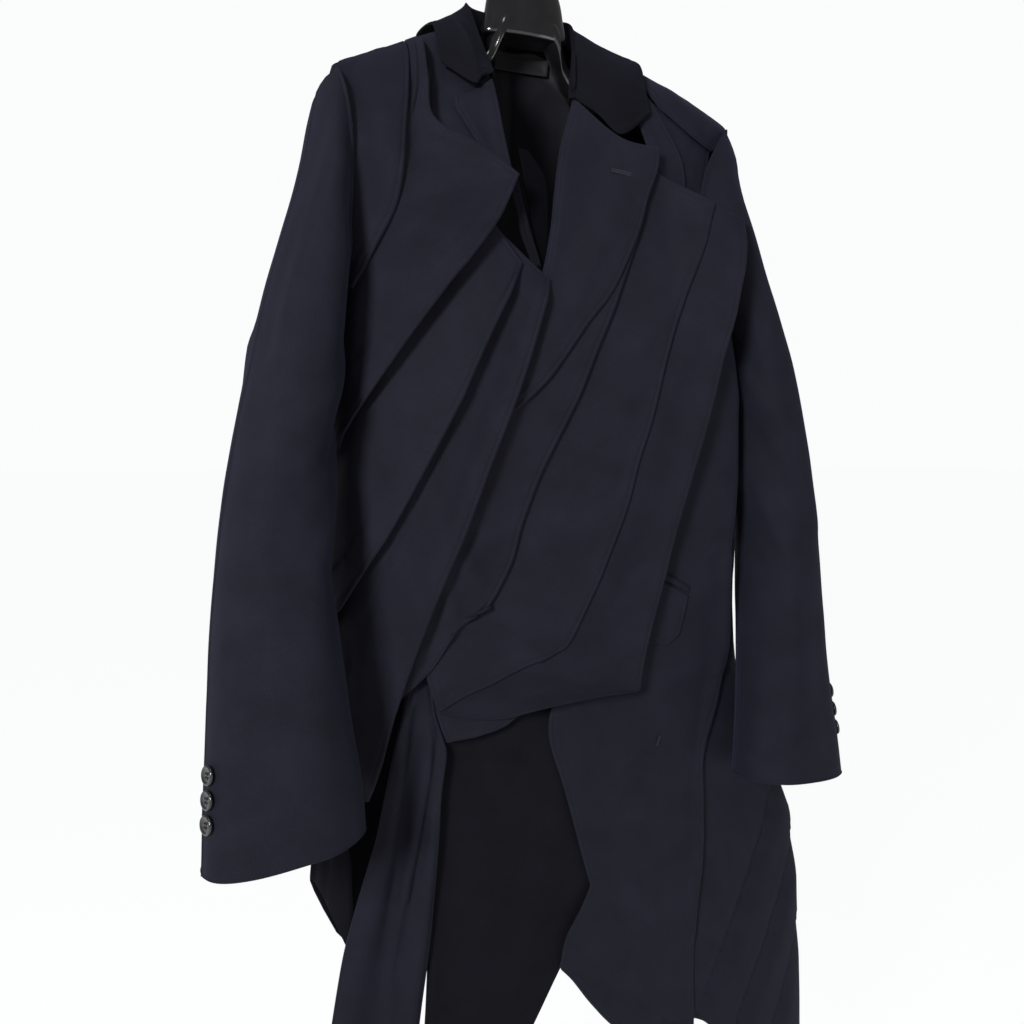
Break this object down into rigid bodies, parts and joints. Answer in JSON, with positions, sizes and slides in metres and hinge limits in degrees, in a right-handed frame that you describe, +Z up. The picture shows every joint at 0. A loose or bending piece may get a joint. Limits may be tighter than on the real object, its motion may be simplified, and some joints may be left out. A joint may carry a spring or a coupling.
{
  "type": "long jacket on a hanger",
  "caption": "Asymmetric layered long tailored jacket with notched collar, overlapping front panels and knife-pleated side, hanging on a moulded hanger.",
  "frame": {"origin": "underside of the hook's crown, where the hanger hangs on a rail", "axes": "+Z up, +X towards the wearer's left, the jacket's front faces -Y"},
  "size_m": [0.5911, 0.1936, 1.0946],
  "materials": {
    "wool": "matte fine twill wool, blue-black",
    "lining": "satin-woven lining, black",
    "label_cloth": "bare satin-woven label",
    "buttons": "polished black",
    "hanger_plastic": "glossy black moulding",
    "hook_steel": "bright plated steel wire"
  },
  "bodies": {
    "root": {"back_right": "wool", "back_left": "wool", "side_right": "wool", "side_left": "wool", "side_front_right": "wool", "layer_right_1": "wool", "layer_right_2": "wool", "layer_right_3": "wool", "yoke_right": "wool", "facing_right": "wool", "facing_left": "lining", "layer_centre": "wool", "layer_left_inner": "wool", "layer_left_outer": "wool", "layer_left_top": "wool", "front_left_upper": "wool", "yoke_left": "wool", "crescent": "wool", "skirt_centre": "wool", "skirt_left": "wool", "pocket_welt": "wool", "pocket_flap": "wool", "drape_fold": "wool", "lapel_right": "wool", "lapel_left": "wool", "collar": "wool", "sleeve_right_top": "wool", "sleeve_right_under": "wool", "sleeve_left_top": "wool", "sleeve_left_under": "wool", "button_right_1": "buttons", "button_right_2": "buttons", "button_right_3": "buttons", "button_left_1": "buttons", "button_left_2": "buttons", "button_left_3": "buttons", "lining_back": "lining", "label": "label_cloth", "hanger_body": "hanger_plastic", "hanger_hook": "hook_steel"}
  },
  "joints": []
}
